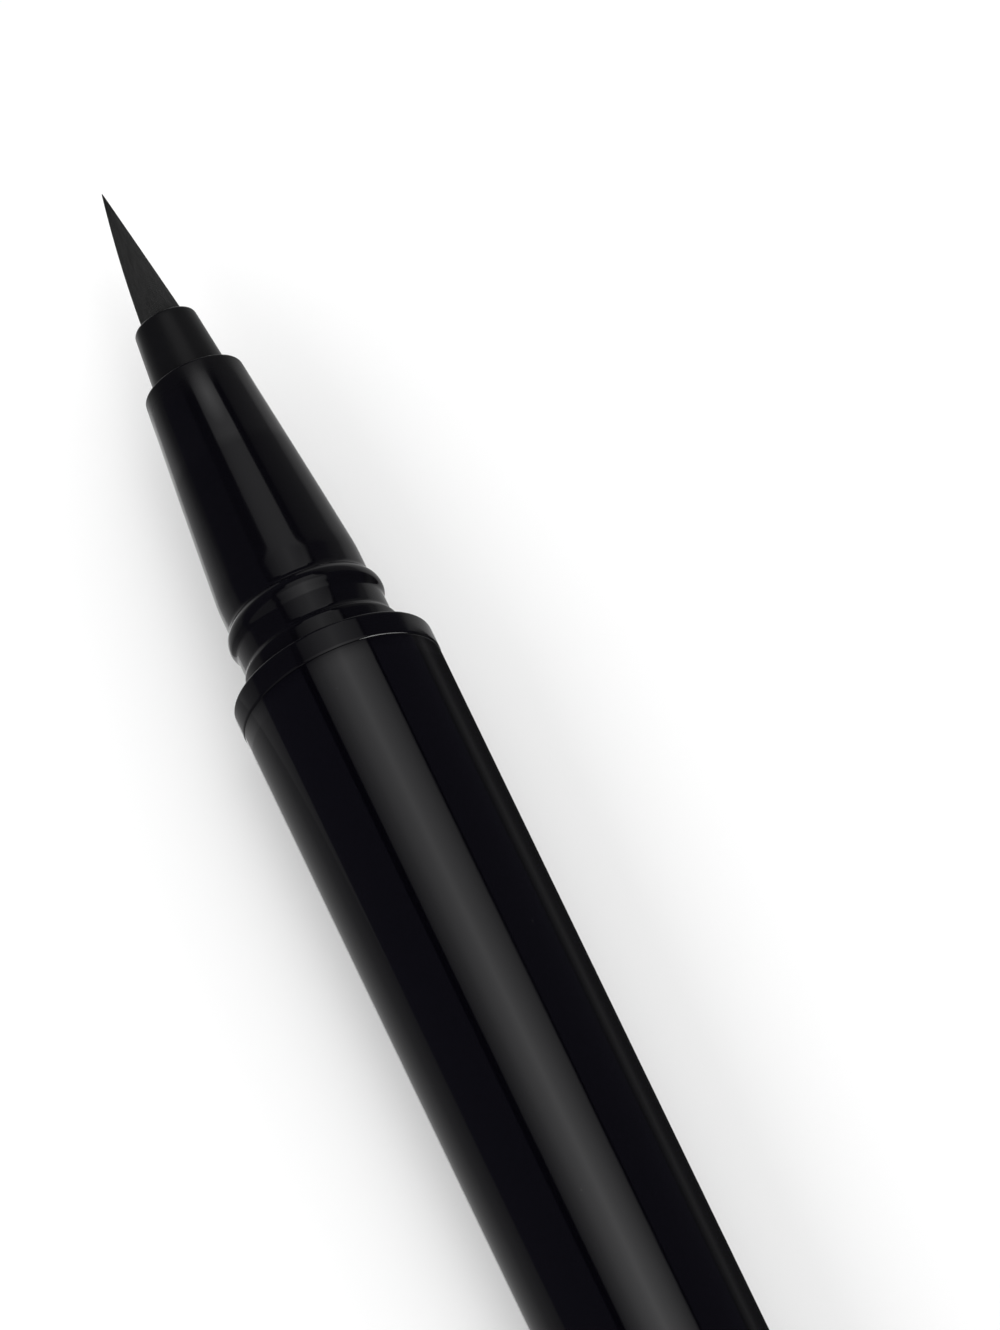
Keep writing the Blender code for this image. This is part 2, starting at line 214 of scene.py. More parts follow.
table_material, tree, shader = new_material("pale_table")
grain_place = object_place(tree, (TABLE_GRAIN_SCALE,) * 3)
grain = add(tree, "ShaderNodeTexNoise", {"Vector": grain_place, "Detail": 3.0})
tint = add(tree, "ShaderNodeMix", {
    "Factor": grain.outputs["Fac"], "A": TABLE_PALE, "B": TABLE_GRAIN,
}, data_type="RGBA")
tree.links.new(tint.outputs["Result"], shader.inputs["Base Color"])
path = add(tree, "ShaderNodeLightPath")
direct = add(tree, "ShaderNodeMath", {
    0: path.outputs["Is Camera Ray"], 1: path.outputs["Is Glossy Ray"],
}, operation="MAXIMUM")
seen = add(tree, "ShaderNodeMath", {
    0: direct.outputs[0], 1: path.outputs["Is Transmission Ray"],
}, operation="MAXIMUM")
tree.links.new(seen.outputs[0], shader.inputs["Emission Color"])
shader.inputs["Emission Strength"].default_value = TABLE_LIFT
shader.inputs["Roughness"].default_value = 1.0
shader.inputs["Specular IOR Level"].default_value = 0.0

pen_middle = plain_box[1].x / 2
bpy.ops.mesh.primitive_plane_add(size=TABLE_SIZE, location=(pen_middle, 0, table_height))
table = bpy.context.active_object
table.name = "table"
table.data.materials.append(table_material)
print(f"table top at {table_height / MM:.2f} mm")

# %% [markdown]
# ## The light
# Gloss black plastic has almost no colour of its own. What we see is a picture of its surroundings,
# at about a twenty-fifth of their brightness. So the light is designed as a picture to be
# reflected: one long soft box overhead, brightest along its middle, in a wide black frame. Its
# front end is narrower, which narrows the stripe on the cone-shaped nose. Cards around the pen hide
# the pale room from the gloss, which keeps the pen black between its stripes. Photographers set
# such cards just outside the picture. Here only the gloss sees them, so they may stand close.

# %% A panel whose brightness changes across it
def panel(name, corners, levels, tint=(1, 1, 1), boost=None):
    """A shining panel. Its levels are (place across the pen, brightness), in rising order.

    A boost is a place along the pen, the place where it has faded to one, and its share.
    """
    material = bpy.data.materials.new(name)
    material.use_nodes = True
    tree = material.node_tree
    tree.nodes.clear()
    where = add(tree, "ShaderNodeTexCoord").outputs["Object"]
    place = add(tree, "ShaderNodeSeparateXYZ", {"Vector": where})
    first, last = levels[0][0], levels[-1][0]
    share = add(tree, "ShaderNodeMapRange", {
        "Value": place.outputs["Y"], "From Min": first, "From Max": last,
    })
    ramp = add(tree, "ShaderNodeValToRGB", {"Fac": share.outputs["Result"]})
    stops = ramp.color_ramp.elements
    while len(stops) < len(levels):
        stops.new(0.5)
    for stop, (place_across, level) in zip(stops, levels):
        stop.position = (place_across - first) / (last - first)
        stop.color = (*(level * channel for channel in tint), 1)
    light = add(tree, "ShaderNodeEmission", {"Color": ramp.outputs["Color"], "Strength": 1.0})
    if boost:
        full, faded, gain = boost
        strength = add(tree, "ShaderNodeMapRange", {
            "Value": place.outputs["X"], "From Min": full, "From Max": faded,
            "To Min": gain, "To Max": 1.0,
        })
        tree.links.new(strength.outputs["Result"], light.inputs["Strength"])
    add(tree, "ShaderNodeOutputMaterial", {"Surface": light.outputs["Emission"]})

    mesh = bpy.data.meshes.new(name)
    mesh.from_pydata(corners, [], [range(len(corners))])
    mesh.materials.append(material)
    obj = bpy.data.objects.new(name, mesh)
    bpy.context.scene.collection.objects.link(obj)
    obj.visible_camera = False
    return obj


# %% Soft box overhead
BOX_HEIGHT, BOX_HALF_WIDTH = 0.500, 0.435
BOX_REAR, BOX_SHOULDER, BOX_NECK, BOX_FRONT = -1.10, 0.39, 0.45, 0.60
BOX_RIGHT, BOX_LEFT = -0.395, 0.325
NECK_RIGHT, NECK_LEFT = -0.265, 0.165
BOX_PEAK = 1.12
BOX_BOOST = (0.16, 0.305, 1.8)
# Places are across the pen in metres. The camera stands on the side where they are positive.
BOX_LEVELS = (
    (BOX_RIGHT, 0.12), (-0.365, 0.35), (-0.311, 0.42), (-0.211, 0.61), (-0.126, 0.78),
    (-0.048, 1.0), (0.027, 0.78), (0.103, 0.61), (0.183, 0.39), (BOX_LEFT, 0.15),
)
NECK_LEVELS = (
    (BOX_RIGHT, 0.35), (NECK_RIGHT, 0.95), (-0.12, 1.0), (-0.04, 0.96), (0.045, 0.88),
    (0.12, 0.72), (BOX_LEFT, 0.10),
)

panel("soft_box", [
    (BOX_REAR, BOX_RIGHT, BOX_HEIGHT), (BOX_REAR, BOX_LEFT, BOX_HEIGHT),
    (BOX_SHOULDER, BOX_LEFT, BOX_HEIGHT), (BOX_SHOULDER, BOX_RIGHT, BOX_HEIGHT),
], [(place, level * BOX_PEAK) for place, level in BOX_LEVELS], boost=BOX_BOOST)
panel("soft_box_front", [
    (BOX_SHOULDER, BOX_RIGHT, BOX_HEIGHT), (BOX_SHOULDER, BOX_LEFT, BOX_HEIGHT),
    (BOX_NECK, NECK_LEFT, BOX_HEIGHT), (BOX_FRONT, NECK_LEFT, BOX_HEIGHT),
    (BOX_FRONT, NECK_RIGHT, BOX_HEIGHT), (BOX_NECK, NECK_RIGHT, BOX_HEIGHT),
], NECK_LEVELS)
print(f"soft box {BOX_LEFT - BOX_RIGHT:.2f} m wide, {BOX_HEIGHT:.2f} m above the pen")

# %% Cards around the pen, seen only in the gloss
CARD_TINT = (1.0, 0.98, 1.3)
NEUTRAL = (1.0, 1.0, 1.0)
LEFT_FOOT, RIGHT_FOOT = 60 * MM, -75 * MM
DARK_LEVEL, GREY_LEVEL = 0.053, 0.20
CARD_FRONT = 0.75
CARD_LIFT, FRAME_LIFT = 0.2 * MM, 2 * MM
CARD_BASE = table_height + CARD_LIFT
FRAME_HEIGHT = BOX_HEIGHT + FRAME_LIFT


def gloss_card(name, corners, levels, tint=CARD_TINT, boost=None):
    card = panel(name, corners, levels, tint, boost)
    card.visible_diffuse = False
    card.visible_transmission = False
    card.visible_shadow = False


def leaning_card(name, foot, foot_span, top_span, levels, tint=CARD_TINT):
    """A card that leans out from its foot on the table to the edge of the soft box's frame.

    Its levels are (share of the way from foot to top, brightness).
    """
    top = math.copysign(BOX_HALF_WIDTH, foot)
    gloss_card(name, [(foot_span[0], foot, CARD_BASE), (foot_span[1], foot, CARD_BASE),
                      (top_span[1], top, FRAME_HEIGHT), (top_span[0], top, FRAME_HEIGHT)],
               sorted((foot + (top - foot) * share, level) for share, level in levels), tint)


def lying_card(name, inner, outer, inner_span, outer_span, levels, boost=None):
    """A card flat on the table. Its levels are (distance from the pen's axis, brightness)."""
    side = math.copysign(1, outer)
    gloss_card(name, [(inner_span[0], inner, CARD_BASE), (inner_span[1], inner, CARD_BASE),
                      (outer_span[1], outer, CARD_BASE), (outer_span[0], outer, CARD_BASE)],
               sorted((side * place * MM, level) for place, level in levels), NEUTRAL, boost)


gloss_card("box_frame", [
    (BOX_REAR, -BOX_HALF_WIDTH, FRAME_HEIGHT), (BOX_REAR, BOX_HALF_WIDTH, FRAME_HEIGHT),
    (CARD_FRONT, BOX_HALF_WIDTH, FRAME_HEIGHT), (CARD_FRONT, -BOX_HALF_WIDTH, FRAME_HEIGHT),
], [(-BOX_HALF_WIDTH, 0.0), (BOX_HALF_WIDTH, 0.0)])
gloss_card("front_card", [
    (CARD_FRONT, LEFT_FOOT, CARD_BASE), (CARD_FRONT, RIGHT_FOOT, CARD_BASE),
    (CARD_FRONT, -BOX_HALF_WIDTH, FRAME_HEIGHT), (CARD_FRONT, BOX_HALF_WIDTH, FRAME_HEIGHT),
], [(-BOX_HALF_WIDTH, DARK_LEVEL), (BOX_HALF_WIDTH, DARK_LEVEL)])
print(f"cards stand {LEFT_FOOT / MM:.0f} and {-RIGHT_FOOT / MM:.0f} mm from the pen's axis")

# %% Cards on the two sides
SIDE_REAR = -0.35
LEFT_TURN_FOOT, LEFT_TURN_TOP = 0.072, 0.27
RIGHT_TURN_FOOT, RIGHT_TURN_TOP = 0.05, -0.29
TURN_FOOT, TURN_TOP = 0.1265, 0.450

ALL_DARK = ((0, DARK_LEVEL), (1, DARK_LEVEL))
GREY_FOOT = ((0, GREY_LEVEL), (1, DARK_LEVEL))
LEFT_REAR_LEVELS = ((0, 0.30), (0.4, 0.28), (1, 0.20))
RIGHT_REAR_LEVELS = (
    (0, 9.0), (0.12, 12.0), (0.25, 15.0), (0.4, 15.0), (0.6, DARK_LEVEL), (1, DARK_LEVEL),
)
leaning_card("left_card", LEFT_FOOT, (LEFT_TURN_FOOT, CARD_FRONT), (LEFT_TURN_TOP, CARD_FRONT),
             ALL_DARK)
leaning_card("right_card", RIGHT_FOOT, (RIGHT_TURN_FOOT, TURN_FOOT), (RIGHT_TURN_TOP, TURN_TOP),
             ALL_DARK)
leaning_card("front_right_card", RIGHT_FOOT, (TURN_FOOT, CARD_FRONT), (TURN_TOP, CARD_FRONT),
             GREY_FOOT, NEUTRAL)
# Paler cards further back are seen only in skin that faces the camera, such as an edge at the seam.
leaning_card("left_rear_card", LEFT_FOOT, (SIDE_REAR, LEFT_TURN_FOOT), (SIDE_REAR, LEFT_TURN_TOP),
             LEFT_REAR_LEVELS, NEUTRAL)
leaning_card("right_rear_card", RIGHT_FOOT, (SIDE_REAR, RIGHT_TURN_FOOT), (SIDE_REAR, RIGHT_TURN_TOP),
             RIGHT_REAR_LEVELS, NEUTRAL)
print(f"side cards reach from {SIDE_REAR:.2f} to {CARD_FRONT:.2f} m along the pen")

# %% What the rims reflect from the table
FLOOR_REAR, TURN_INNER = -0.30, 0.0945
LEFT_SPLIT = 0.098
INNER = 6 * MM
BEAD_BOOST = (0.114, 0.126, 1.75)

LEFT_FLOOR = ((6, 0.37), (12, 0.29), (18, 0.20), (32, 0.155), (60, 0.115))
FRONT_LEFT_FLOOR = ((6, 0.32), (12, 0.25), (18, 0.17), (32, 0.13), (60, 0.10))
RIGHT_FLOOR = (
    (6, 0.016), (13, 0.02), (18, 0.045), (25, 0.11), (38, 0.075), (60, 0.035), (75, 0.035),
)
FRONT_RIGHT_FLOOR = ((6, 0.40), (25, 0.45), (75, 0.25))
lying_card("left_floor_card", INNER, LEFT_FOOT,
           (FLOOR_REAR, LEFT_SPLIT), (FLOOR_REAR, LEFT_SPLIT), LEFT_FLOOR)
lying_card("front_left_floor_card", INNER, LEFT_FOOT,
           (LEFT_SPLIT, CARD_FRONT), (LEFT_SPLIT, CARD_FRONT), FRONT_LEFT_FLOOR, BEAD_BOOST)
lying_card("right_floor_card", -INNER, RIGHT_FOOT,
           (FLOOR_REAR, TURN_INNER), (FLOOR_REAR, TURN_FOOT), RIGHT_FLOOR)
lying_card("front_right_floor_card", -INNER, RIGHT_FOOT,
           (TURN_INNER, CARD_FRONT), (TURN_FOOT, CARD_FRONT), FRONT_RIGHT_FLOOR)
print(f"floor cards start {INNER / MM:.0f} mm from the pen's axis")

# %% Room light and a soft fill
ROOM_LEVEL = 0.90
FILL_WATTS, FILL_SIZE, FILL_PLACE = 4.0, 0.9, Vector((-0.30, 0.80, 0.62))

world = bpy.data.worlds.new("room")
world.use_nodes = True
room = world.node_tree.nodes["Background"]
room.inputs["Color"].default_value = (1, 1, 1, 1)
room.inputs["Strength"].default_value = ROOM_LEVEL
bpy.context.scene.world = world

fill_data = bpy.data.lights.new("fill", "AREA")
fill_data.size = FILL_SIZE
fill_data.energy = FILL_WATTS
fill = bpy.data.objects.new("fill", fill_data)
bpy.context.scene.collection.objects.link(fill)
fill.location = FILL_PLACE
fill.rotation_euler = (target - FILL_PLACE).to_track_quat("-Z", "Y").to_euler()
fill.visible_camera = False
fill.visible_glossy = False
print(f"room at {ROOM_LEVEL:.2f} of white, and a fill of {FILL_WATTS:.0f} W")

# %% [markdown]
# ## Effects that several finishes share
# Polished moulded plastic is never quite flat: it carries a slow waviness, which makes the edges of
# a reflected stripe wander. Handling leaves faint smudges that dull the gloss in patches, and a few
# specks of dust settle on it. Drawn things, such as bristles, fibre and wire, carry fine streaks
# along their length. Scanned pictures of such marks would show a seam and blur up close. Noise made
# from the place on the object does neither. Each effect is a node group, so that every finish can
# have its own amount.

# %% Waviness of a moulded surface
def make_waviness():
    tree, inside, outside = new_group("moulded_waviness", {
        "Wave size": 60.0, "Grain size": 2500.0, "Grain share": 0.05,
    }, ["Height"])
    where = object_place(tree, (0.35, 1, 1))
    waves = add(tree, "ShaderNodeTexNoise", {
        "Vector": where, "Scale": inside.outputs["Wave size"], "Detail": 1.0,
    })
    fine = add(tree, "ShaderNodeTexNoise", {
        "Vector": where, "Scale": inside.outputs["Grain size"], "Detail": 2.0,
    })
    grain = add(tree, "ShaderNodeMath", {
        0: fine.outputs["Fac"], 1: inside.outputs["Grain share"],
    }, operation="MULTIPLY")
    height = add(tree, "ShaderNodeMath", {
        0: waves.outputs["Fac"], 1: grain.outputs[0],
    }, operation="ADD")
    tree.links.new(height.outputs[0], outside.inputs["Height"])
    return tree


waviness = make_waviness()

# %% Smudges from handling
SMUDGE_STARTS, SMUDGE_FULL = 0.42, 0.78


def make_smudges():
    tree, inside, outside = new_group("handling_smudges", {
        "Clean": 0.08, "Smudged": 0.16, "Patch size": 140.0,
    }, ["Roughness"])
    where = object_place(tree, (0.6, 1, 1))
    patches = add(tree, "ShaderNodeTexNoise", {
        "Vector": where, "Scale": inside.outputs["Patch size"], "Detail": 4.0, "Roughness": 0.65,
    })
    rough = add(tree, "ShaderNodeMapRange", {
        "Value": patches.outputs["Fac"], "From Min": SMUDGE_STARTS, "From Max": SMUDGE_FULL,
        "To Min": inside.outputs["Clean"], "To Max": inside.outputs["Smudged"],
    })
    tree.links.new(rough.outputs["Result"], outside.inputs["Roughness"])
    return tree


smudges = make_smudges()

# %% Specks of dust
def make_dust():
    tree, inside, outside = new_group("dust_specks", {"Speck size": 420.0, "Cover": 0.025}, ["Mask"])
    cells = add(tree, "ShaderNodeTexVoronoi", {
        "Vector": object_place(tree, (1, 1, 1)), "Scale": inside.outputs["Speck size"],
    })
    speck = add(tree, "ShaderNodeMath", {
        0: cells.outputs["Distance"], 1: inside.outputs["Cover"],
    }, operation="LESS_THAN")
    tree.links.new(speck.outputs[0], outside.inputs["Mask"])
    return tree


dust = make_dust()

# %% Streaks along the pen
STREAK_DARK, STREAK_PALE = 0.3, 0.7


def make_streaks():
    tree, inside, outside = new_group("long_streaks", {
        "Streak size": 9000.0, "Low": 0.0, "High": 1.0,
    }, ["Shade"])
    lines = add(tree, "ShaderNodeTexNoise", {
        "Vector": object_place(tree, (0.02, 1, 1)), "Scale": inside.outputs["Streak size"],
        "Detail": 2.0,
    })
    shade = add(tree, "ShaderNodeMapRange", {
        "Value": lines.outputs["Fac"], "From Min": STREAK_DARK, "From Max": STREAK_PALE,
        "To Min": inside.outputs["Low"], "To Max": inside.outputs["High"],
    })
    tree.links.new(shade.outputs["Result"], outside.inputs["Shade"])
    return tree


streaks = make_streaks()
print("effects:", ", ".join(group.name for group in (waviness, smudges, dust, streaks)))

# %% [markdown]
# ## The finishes
# The shells are glossy black plastic: nearly no colour, with a hint of blue, under a smooth skin.
# The brush's sleeve and the cap's liner are the same black with a satin skin, and so are the two
# closed ends, where a mould is rarely polished. The bristles are fine dark nylon, the inner pieces
# white or milky plastic, bonded fibre, rubber and steel. One helper could serve them all, but
# moulded and drawn things age in different ways, so there is one for each kind.

# %% Plastics
END_DEPTH = 0.16 * MM
CLOUD_SCALE, CLOUD_DARKER = 400, 0.75
DUST_GREY = (0.012, 0.012, 0.012, 1)


def end_faces(tree):
    """A mask that is one on the skin at the tail's and the cap's closed ends, and zero between them."""
    where = add(tree, "ShaderNodeTexCoord").outputs["Object"]
    along = add(tree, "ShaderNodeSeparateXYZ", {"Vector": where}).outputs["X"]
    shifted = add(tree, "ShaderNodeMath", {0: along, 1: pen_middle}, operation="SUBTRACT")
    distance = add(tree, "ShaderNodeMath", {0: shifted.outputs[0]}, operation="ABSOLUTE")
    return add(tree, "ShaderNodeMath", {
        0: distance.outputs[0], 1: pen_middle - END_DEPTH,
    }, operation="GREATER_THAN").outputs[0]


def plastic(name, colour, clean, smudged, wave_height, gloss=0.5, dusty=False, rough_ends=0.0, **waves):
    """Moulded plastic: waviness in the normal, smudges in the roughness and, if asked, dust."""
    material, tree, shader = new_material(name)
    shader.inputs["IOR"].default_value = 1.5
    shader.inputs["Specular IOR Level"].default_value = gloss
    height = use_group(tree, waviness, **waves)
    bump = add(tree, "ShaderNodeBump", {
        "Height": height.outputs["Height"], "Distance": wave_height, "Strength": 1.0,
    })
    tree.links.new(bump.outputs["Normal"], shader.inputs["Normal"])
    rough = use_group(tree, smudges, clean=clean, smudged=smudged).outputs["Roughness"]
    if rough_ends:
        satin = add(tree, "ShaderNodeMath", {0: end_faces(tree), 1: rough_ends}, operation="MULTIPLY")
        rough = add(tree, "ShaderNodeMath", {
            0: rough, 1: satin.outputs[0],
        }, operation="MAXIMUM").outputs[0]
    tree.links.new(rough, shader.inputs["Roughness"])
    cloud_place = object_place(tree, (CLOUD_SCALE,) * 3)
    cloudy = add(tree, "ShaderNodeTexNoise", {"Vector": cloud_place, "Detail": 2.0})
    darker = [channel * CLOUD_DARKER for channel in colour]
    shade = add(tree, "ShaderNodeMix", {
        "Factor": cloudy.outputs["Fac"], "A": (*darker, 1), "B": (*colour, 1),
    }, data_type="RGBA").outputs["Result"]
    if dusty:
        specks = use_group(tree, dust)
        shade = add(tree, "ShaderNodeMix", {
            "Factor": specks.outputs["Mask"], "A": shade, "B": DUST_GREY,
        }, data_type="RGBA").outputs["Result"]
    tree.links.new(shade, shader.inputs["Base Color"])
    return material


BARREL_BLACK, FRONT_BLACK = (0.0015, 0.0013, 0.0025), (0.0026, 0.0024, 0.0037)
SLEEVE_BLACK = (0.0050, 0.0049, 0.0058)
WHITE, MILKY, RUBBER_BLACK = (0.80, 0.80, 0.76), (0.72, 0.75, 0.76), (0.018, 0.018, 0.018)
gloss_black = plastic("gloss_black", BARREL_BLACK, clean=0.06, smudged=0.11,
                      wave_height=0.020 * MM, dusty=True, rough_ends=0.36)
front_black = plastic("front_black", FRONT_BLACK, clean=0.08, smudged=0.14,
                      wave_height=0.020 * MM, gloss=0.2, dusty=True)
satin_black = plastic("satin_black", SLEEVE_BLACK, clean=0.34, smudged=0.42,
                      wave_height=0.012 * MM, gloss=0.2)
white_plastic = plastic("white_plastic", WHITE, clean=0.30, smudged=0.40, wave_height=0.010 * MM)
milky_plastic = plastic("milky_plastic", MILKY, clean=0.22, smudged=0.30, wave_height=0.010 * MM)
rubber = plastic("rubber", RUBBER_BLACK, clean=0.60, smudged=0.75,
                 wave_height=0.006 * MM, grain_share=0.4)
PLASTICS = (gloss_black, front_black, satin_black, white_plastic, milky_plastic, rubber)
print("plastics:", ", ".join(finish.name for finish in PLASTICS))

# %% Finishes that differ along the pen
RAGGED_SCALE = 900.0
COAT_ROUGHNESS = 0.08


def value_along(tree, stops, ragged):
    """A value between stops, which are (place along the pen in mm, value), with a ragged course."""
    where = add(tree, "ShaderNodeTexCoord").outputs["Object"]
    along = add(tree, "ShaderNodeSeparateXYZ", {"Vector": where}).outputs["X"]
    patches = add(tree, "ShaderNodeTexNoise", {
        "Vector": object_place(tree, (1, 1, 1)), "Scale": RAGGED_SCALE,
    })
    place = add(tree, "ShaderNodeMath", {
        0: patches.outputs["Fac"], 1: ragged, 2: along,
    }, operation="MULTIPLY_ADD")
    first, last = stops[0][0], stops[-1][0]
    share = add(tree, "ShaderNodeMapRange", {
        "Value": place.outputs[0],
        "From Min": first * MM + ragged / 2, "From Max": last * MM + ragged / 2,
    })
    ramp = add(tree, "ShaderNodeValToRGB", {"Fac": share.outputs["Result"]})
    while len(ramp.color_ramp.elements) < len(stops):
        ramp.color_ramp.elements.new(0.5)
    for element, (stop_place, value) in zip(ramp.color_ramp.elements, stops):
        element.position = (stop_place - first) / (last - first)
        element.color = (value, value, value, 1)
    return ramp.outputs["Color"]


# %% Nose finish
# The cap's seal wipes a band of the nose clean, fingers polish one spot in front of it, and a
# trace of dried ink dulls the front edge.
INKED = ((109.4, 0.0), (110.4, 0.18), (111.3, 0.30), (112.1, 0.40))
WIPED = ((106.3, 0.0), (106.9, 0.20), (108.9, 0.17), (110.8, 0.10), (112.1, 0.0))
SPOT_PLACE = (109.7 * MM, 0.15 * MM, 2.98 * MM)
SPOT_REACH = (2.1 * MM, 0.60 * MM, 2.0 * MM)
SPOT_GAIN = 0.66
WIPED_RAGGED, INKED_RAGGED, BAND_RAGGED = 0.5 * MM, 0.3 * MM, 0.1 * MM
nose_black = front_black.copy()
nose_black.name = "nose_black"
tree = nose_black.node_tree
wiped = value_along(tree, WIPED, WIPED_RAGGED)
where = add(tree, "ShaderNodeTexCoord").outputs["Object"]
near = add(tree, "ShaderNodeMapping", {"Vector": where, "Location": SPOT_PLACE, "Scale": SPOT_REACH},
           vector_type="TEXTURE")
spot = add(tree, "ShaderNodeTexGradient", {
    "Vector": near.outputs["Vector"],
}, gradient_type="SPHERICAL")
coat = add(tree, "ShaderNodeMath", {
    0: spot.outputs["Fac"], 1: SPOT_GAIN, 2: wiped,
}, operation="MULTIPLY_ADD")
shader = tree.nodes["Principled BSDF"]
tree.links.new(coat.outputs[0], shader.inputs["Coat Weight"])
shader.inputs["Coat Roughness"].default_value = COAT_ROUGHNESS
smudged = shader.inputs["Roughness"].links[0].from_socket
inked = value_along(tree, INKED, INKED_RAGGED)
dull = add(tree, "ShaderNodeMath", {0: smudged, 1: inked}, operation="MAXIMUM")
tree.links.new(dull.outputs[0], shader.inputs["Roughness"])
print(f"{nose_black.name}: wiped from {WIPED[0][0]} mm, inked from {INKED[0][0]} mm")

# %% Lacquer at the barrel's front edge
# The barrel is lacquered, and the lacquer thins out just behind its front edge.
FULL_LACQUER = 0.6
seam_mm = seam / MM
BAND = (
    (seam_mm - 0.95, FULL_LACQUER), (seam_mm - 0.6, 0.52), (seam_mm - 0.22, 0.32), (seam_mm, 0.0),
)
band_black = plastic("band_black", BARREL_BLACK, clean=0.06, smudged=0.11,
                     wave_height=0.020 * MM, gloss=0.2)
tree = band_black.node_tree
shader = tree.nodes["Principled BSDF"]
tree.links.new(value_along(tree, BAND, BAND_RAGGED), shader.inputs["Coat Weight"])
shader.inputs["Coat Roughness"].default_value = COAT_ROUGHNESS
print(f"{band_black.name}: lacquer thins out from {BAND[0][0]:.2f} to {BAND[-1][0]:.2f} mm")

# %% Bristles, fibre and wire
def drawn(name, dark, pale, low_rough, high_rough, streak_height, metallic=0.0, streak_size=9000.0):
    """A drawn strand or rod: streaks along its length in colour, roughness and height."""
    material, tree, shader = new_material(name)
    shader.inputs["Metallic"].default_value = metallic
    shade = use_group(tree, streaks, streak_size=streak_size)
    mix = add(tree, "ShaderNodeMix", {
        "Factor": shade.outputs["Shade"], "A": (*dark, 1), "B": (*pale, 1),
    }, data_type="RGBA")
    tree.links.new(mix.outputs["Result"], shader.inputs["Base Color"])
    rough = use_group(tree, streaks, streak_size=streak_size / 2, low=low_rough, high=high_rough)
    tree.links.new(rough.outputs["Shade"], shader.inputs["Roughness"])
    bump = add(tree, "ShaderNodeBump", {"Height": shade.outputs["Shade"], "Distance": streak_height})
    tree.links.new(bump.outputs["Normal"], shader.inputs["Normal"])
    return material


bristle_black = drawn("bristle_black", (0.0112, 0.0112, 0.0112), (0.0205, 0.0205, 0.0205),
                      low_rough=0.6, high_rough=0.8, streak_height=0.002 * MM)
fibre_white = drawn("fibre_white", (0.50, 0.50, 0.47), (0.70, 0.70, 0.66),
                    low_rough=0.8, high_rough=0.95, streak_height=0.01 * MM, streak_size=5000.0)
steel = drawn("steel", (0.52, 0.52, 0.52), (0.66, 0.66, 0.66),
              low_rough=0.18, high_rough=0.3, streak_height=0.001 * MM, metallic=1.0)
print("drawn:", ", ".join(finish.name for finish in (bristle_black, fibre_white, steel)))

# %% [markdown]
# ## Turned shells
# Each shell of the pen is round about one axis. Blender's Screw modifier could turn an outline, but
# every edge of a moulded part also has a small radius, and on gloss black that radius is what we
# see: it catches a thin line of light. So an outline is given as corners, each with its place, its
# distance from the axis and its edge radius. One helper rounds the corners, another lays a ring of
# corners round the axis for each point of the line. Laid in that order, the mesh is the same on
# every run.

# %% Rounding and spinning an outline
ARC_STEPS = 6
ROUND_STEPS, FINE_STEPS = 144, 96
SUPPORT = 0.03 * MM
LONG_SIDE = 3
MOST_OF_SIDE = 0.45
SHELL_SHARP = math.radians(40)


def rounded(corners, closed=True):
    """The outline's points, with an arc at each corner that has an edge radius.

    A point just past each end of an arc keeps the long side beside it shading straight.
    """
    points = []
    for i, (x, r, edge) in enumerate(corners):
        here = Vector((x, r))
        if not edge or (not closed and i in (0, len(corners) - 1)):
            points.append(here)
            continue
        before = Vector(corners[i - 1][:2]) - here
        after = Vector(corners[(i + 1) % len(corners)][:2]) - here
        half = before.angle(after) / 2
        room = MOST_OF_SIDE * min(before.length, after.length)
        back = min(edge / math.tan(half), room)
        start, end = before.normalized() * back, after.normalized() * back
        centre = (start + end).normalized() * back / math.cos(half)
        first, last = start - centre, end - centre
        sweep = first.angle(last)
        if before.length > LONG_SIDE * (back + SUPPORT):
            points.append(here + before.normalized() * (back + SUPPORT))
        for step in range(ARC_STEPS + 1):
            part = step / ARC_STEPS
            arc = first * math.sin((1 - part) * sweep) + last * math.sin(part * sweep)
            points.append(here + centre + arc / math.sin(sweep))
        if after.length > LONG_SIDE * (back + SUPPORT):
            points.append(here + after.normalized() * (back + SUPPORT))
    return points


def join_rings(work, rings, closed=False):
    """Joins each ring to the next by a band of faces and, if closed, the last ring to the first."""
    for ring, onward in zip(rings, rings[1:] + (rings[:1] if closed else [])):
        for side in range(len(ring)):
            # A ring on the axis is one corner many times over, and a face takes it only once.
            face = dict.fromkeys((ring[side - 1], ring[side], onward[side], onward[side - 1]))
            work.faces.new(tuple(face))


def to_piece(work, name, material, sharp):
    """Makes the joined rings an object with smooth shading, but for edges past the sharp angle."""
    bmesh.ops.recalc_face_normals(work, faces=work.faces)
    mesh = bpy.data.meshes.new(name)
    work.to_mesh(mesh)
    work.free()
    mesh.shade_smooth()
    mesh.set_sharp_from_angle(angle=sharp)
    mesh.materials.append(material)
    piece = bpy.data.objects.new(name, mesh)
    bpy.context.scene.collection.objects.link(piece)
    return piece


def spun(name, corners, material, closed=True, steps=ROUND_STEPS):
    """Spins an outline about the pen's axis into one closed skin."""
    work = bmesh.new()
    turns = [2 * math.pi * step / steps for step in range(steps)]
    rings = []
    for x, r in rounded(corners, closed):
        if r > 0:
            rings.append([work.verts.new((x, r * math.sin(a), r * math.cos(a))) for a in turns])
        else:
            rings.append([work.verts.new((x, 0, 0))] * steps)
    join_rings(work, rings, closed)
    return to_piece(work, name, material, SHELL_SHARP)


def bowed(start, end, bulge, count=24):
    """Corners between two places on a side that swells outwards by the bulge at its middle."""
    corners = []
    for step in range(1, count):
        part = step / count
        swell = bulge * 4 * part * (1 - part)
        corners.append((start[0] + (end[0] - start[0]) * part,
                        start[1] + (end[1] - start[1]) * part + swell, 0))
    return corners


